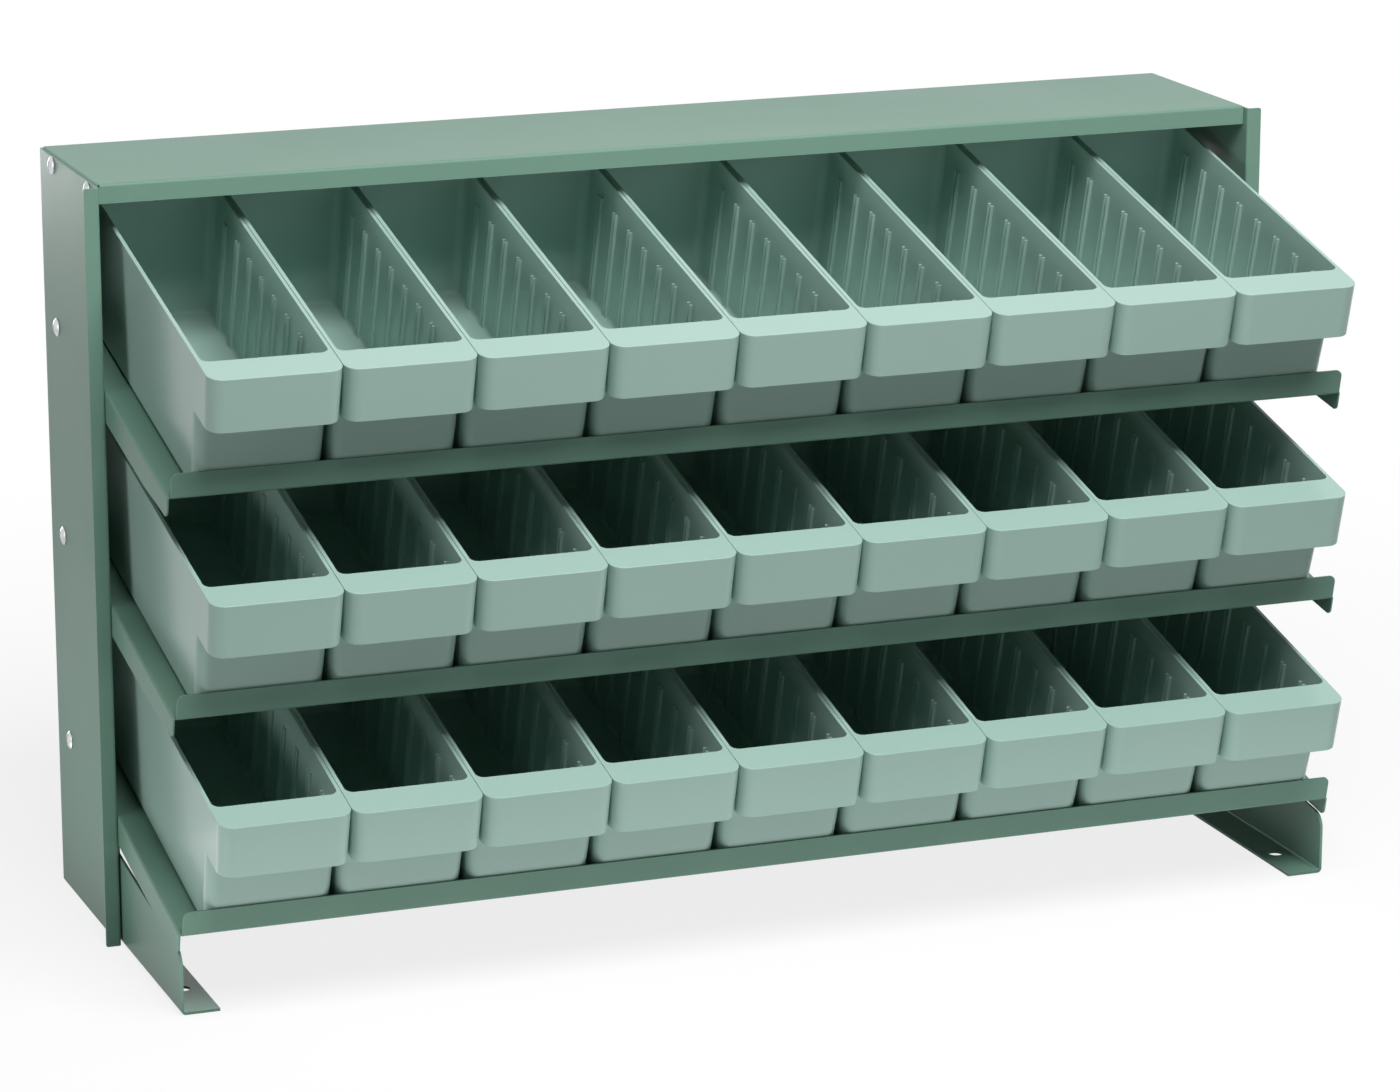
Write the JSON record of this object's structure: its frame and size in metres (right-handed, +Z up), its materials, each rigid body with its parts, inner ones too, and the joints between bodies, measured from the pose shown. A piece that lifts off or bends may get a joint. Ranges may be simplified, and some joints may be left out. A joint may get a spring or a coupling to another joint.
{
  "type": "pick rack",
  "caption": "Open bench rack of folded steel whose shelves slope to the front and hold rows of moulded plastic picking drawers behind upturned lips.",
  "frame": {"origin": "on the floor under the middle of the footprint, drawers included", "axes": "+X along the rack's width to the right as seen from the front, -Y to the front where the shelves slope down, +Z up"},
  "size_m": [0.9144, 0.3857, 0.5593],
  "materials": {
    "painted_steel": "smooth semi-gloss grey-green enamel",
    "zinc_steel": "bright zinc plate",
    "drawer_plastic": "moulded satin polypropylene, light grey-green"
  },
  "bodies": {
    "rack": {"left_upright": "painted_steel", "right_upright": "painted_steel", "top_cap": "painted_steel", "lower_shelf": "painted_steel", "middle_shelf": "painted_steel", "upper_shelf": "painted_steel", "left_leg": "painted_steel", "right_leg": "painted_steel", "lower_shelf_screws": "zinc_steel", "lower_shelf_nuts": "zinc_steel", "middle_shelf_screws": "zinc_steel", "middle_shelf_nuts": "zinc_steel", "upper_shelf_screws": "zinc_steel", "upper_shelf_nuts": "zinc_steel", "cap_screws": "zinc_steel", "cap_nuts": "zinc_steel"},
    "drawer_lower_1": {"drawer_lower_1": "drawer_plastic"},
    "drawer_lower_2": {"drawer_lower_2": "drawer_plastic"},
    "drawer_lower_3": {"drawer_lower_3": "drawer_plastic"},
    "drawer_lower_4": {"drawer_lower_4": "drawer_plastic"},
    "drawer_lower_5": {"drawer_lower_5": "drawer_plastic"},
    "drawer_lower_6": {"drawer_lower_6": "drawer_plastic"},
    "drawer_lower_7": {"drawer_lower_7": "drawer_plastic"},
    "drawer_lower_8": {"drawer_lower_8": "drawer_plastic"},
    "drawer_lower_9": {"drawer_lower_9": "drawer_plastic"},
    "drawer_middle_1": {"drawer_middle_1": "drawer_plastic"},
    "drawer_middle_2": {"drawer_middle_2": "drawer_plastic"},
    "drawer_middle_3": {"drawer_middle_3": "drawer_plastic"},
    "drawer_middle_4": {"drawer_middle_4": "drawer_plastic"},
    "drawer_middle_5": {"drawer_middle_5": "drawer_plastic"},
    "drawer_middle_6": {"drawer_middle_6": "drawer_plastic"},
    "drawer_middle_7": {"drawer_middle_7": "drawer_plastic"},
    "drawer_middle_8": {"drawer_middle_8": "drawer_plastic"},
    "drawer_middle_9": {"drawer_middle_9": "drawer_plastic"},
    "drawer_upper_1": {"drawer_upper_1": "drawer_plastic"},
    "drawer_upper_2": {"drawer_upper_2": "drawer_plastic"},
    "drawer_upper_3": {"drawer_upper_3": "drawer_plastic"},
    "drawer_upper_4": {"drawer_upper_4": "drawer_plastic"},
    "drawer_upper_5": {"drawer_upper_5": "drawer_plastic"},
    "drawer_upper_6": {"drawer_upper_6": "drawer_plastic"},
    "drawer_upper_7": {"drawer_upper_7": "drawer_plastic"},
    "drawer_upper_8": {"drawer_upper_8": "drawer_plastic"},
    "drawer_upper_9": {"drawer_upper_9": "drawer_plastic"}
  },
  "joints": [
    {"name": "drawer_lower_1_tip", "type": "hinge", "parent": "rack", "child": "drawer_lower_1", "pos_m": [-0.3817, 0.13765, 0.12431], "axis": [-1, 0, 0], "range_deg": [0, 9]},
    {"name": "drawer_lower_2_tip", "type": "hinge", "parent": "rack", "child": "drawer_lower_2", "pos_m": [-0.2862, 0.13765, 0.12431], "axis": [-1, 0, 0], "range_deg": [0, 9]},
    {"name": "drawer_lower_3_tip", "type": "hinge", "parent": "rack", "child": "drawer_lower_3", "pos_m": [-0.1907, 0.13765, 0.12431], "axis": [-1, 0, 0], "range_deg": [0, 9]},
    {"name": "drawer_lower_4_tip", "type": "hinge", "parent": "rack", "child": "drawer_lower_4", "pos_m": [-0.0952, 0.13765, 0.12431], "axis": [-1, 0, 0], "range_deg": [0, 9]},
    {"name": "drawer_lower_5_tip", "type": "hinge", "parent": "rack", "child": "drawer_lower_5", "pos_m": [0.0003, 0.13765, 0.12431], "axis": [-1, 0, 0], "range_deg": [0, 9]},
    {"name": "drawer_lower_6_tip", "type": "hinge", "parent": "rack", "child": "drawer_lower_6", "pos_m": [0.0958, 0.13765, 0.12431], "axis": [-1, 0, 0], "range_deg": [0, 9]},
    {"name": "drawer_lower_7_tip", "type": "hinge", "parent": "rack", "child": "drawer_lower_7", "pos_m": [0.1913, 0.13765, 0.12431], "axis": [-1, 0, 0], "range_deg": [0, 9]},
    {"name": "drawer_lower_8_tip", "type": "hinge", "parent": "rack", "child": "drawer_lower_8", "pos_m": [0.2868, 0.13765, 0.12431], "axis": [-1, 0, 0], "range_deg": [0, 9]},
    {"name": "drawer_lower_9_tip", "type": "hinge", "parent": "rack", "child": "drawer_lower_9", "pos_m": [0.3823, 0.13765, 0.12431], "axis": [-1, 0, 0], "range_deg": [0, 9]},
    {"name": "drawer_middle_1_tip", "type": "hinge", "parent": "rack", "child": "drawer_middle_1", "pos_m": [-0.384, 0.13765, 0.28092], "axis": [-1, 0, 0], "range_deg": [0, 9]},
    {"name": "drawer_middle_2_tip", "type": "hinge", "parent": "rack", "child": "drawer_middle_2", "pos_m": [-0.2885, 0.13765, 0.28092], "axis": [-1, 0, 0], "range_deg": [0, 9]},
    {"name": "drawer_middle_3_tip", "type": "hinge", "parent": "rack", "child": "drawer_middle_3", "pos_m": [-0.193, 0.13765, 0.28092], "axis": [-1, 0, 0], "range_deg": [0, 9]},
    {"name": "drawer_middle_4_tip", "type": "hinge", "parent": "rack", "child": "drawer_middle_4", "pos_m": [-0.0975, 0.13765, 0.28092], "axis": [-1, 0, 0], "range_deg": [0, 9]},
    {"name": "drawer_middle_5_tip", "type": "hinge", "parent": "rack", "child": "drawer_middle_5", "pos_m": [-0.002, 0.13765, 0.28092], "axis": [-1, 0, 0], "range_deg": [0, 9]},
    {"name": "drawer_middle_6_tip", "type": "hinge", "parent": "rack", "child": "drawer_middle_6", "pos_m": [0.0935, 0.13765, 0.28092], "axis": [-1, 0, 0], "range_deg": [0, 9]},
    {"name": "drawer_middle_7_tip", "type": "hinge", "parent": "rack", "child": "drawer_middle_7", "pos_m": [0.189, 0.13765, 0.28092], "axis": [-1, 0, 0], "range_deg": [0, 9]},
    {"name": "drawer_middle_8_tip", "type": "hinge", "parent": "rack", "child": "drawer_middle_8", "pos_m": [0.2845, 0.13765, 0.28092], "axis": [-1, 0, 0], "range_deg": [0, 9]},
    {"name": "drawer_middle_9_tip", "type": "hinge", "parent": "rack", "child": "drawer_middle_9", "pos_m": [0.38, 0.13765, 0.28092], "axis": [-1, 0, 0], "range_deg": [0, 9]},
    {"name": "drawer_upper_1_tip", "type": "hinge", "parent": "rack", "child": "drawer_upper_1", "pos_m": [-0.382, 0.13765, 0.43754], "axis": [-1, 0, 0], "range_deg": [0, 9]},
    {"name": "drawer_upper_2_tip", "type": "hinge", "parent": "rack", "child": "drawer_upper_2", "pos_m": [-0.2865, 0.13765, 0.43754], "axis": [-1, 0, 0], "range_deg": [0, 9]},
    {"name": "drawer_upper_3_tip", "type": "hinge", "parent": "rack", "child": "drawer_upper_3", "pos_m": [-0.191, 0.13765, 0.43754], "axis": [-1, 0, 0], "range_deg": [0, 9]},
    {"name": "drawer_upper_4_tip", "type": "hinge", "parent": "rack", "child": "drawer_upper_4", "pos_m": [-0.0955, 0.13765, 0.43754], "axis": [-1, 0, 0], "range_deg": [0, 9]},
    {"name": "drawer_upper_5_tip", "type": "hinge", "parent": "rack", "child": "drawer_upper_5", "pos_m": [0, 0.13765, 0.43754], "axis": [-1, 0, 0], "range_deg": [0, 9]},
    {"name": "drawer_upper_6_tip", "type": "hinge", "parent": "rack", "child": "drawer_upper_6", "pos_m": [0.0955, 0.13765, 0.43754], "axis": [-1, 0, 0], "range_deg": [0, 9]},
    {"name": "drawer_upper_7_tip", "type": "hinge", "parent": "rack", "child": "drawer_upper_7", "pos_m": [0.191, 0.13765, 0.43754], "axis": [-1, 0, 0], "range_deg": [0, 9]},
    {"name": "drawer_upper_8_tip", "type": "hinge", "parent": "rack", "child": "drawer_upper_8", "pos_m": [0.2865, 0.13765, 0.43754], "axis": [-1, 0, 0], "range_deg": [0, 9]},
    {"name": "drawer_upper_9_tip", "type": "hinge", "parent": "rack", "child": "drawer_upper_9", "pos_m": [0.382, 0.13765, 0.43754], "axis": [-1, 0, 0], "range_deg": [0, 9]}
  ]
}
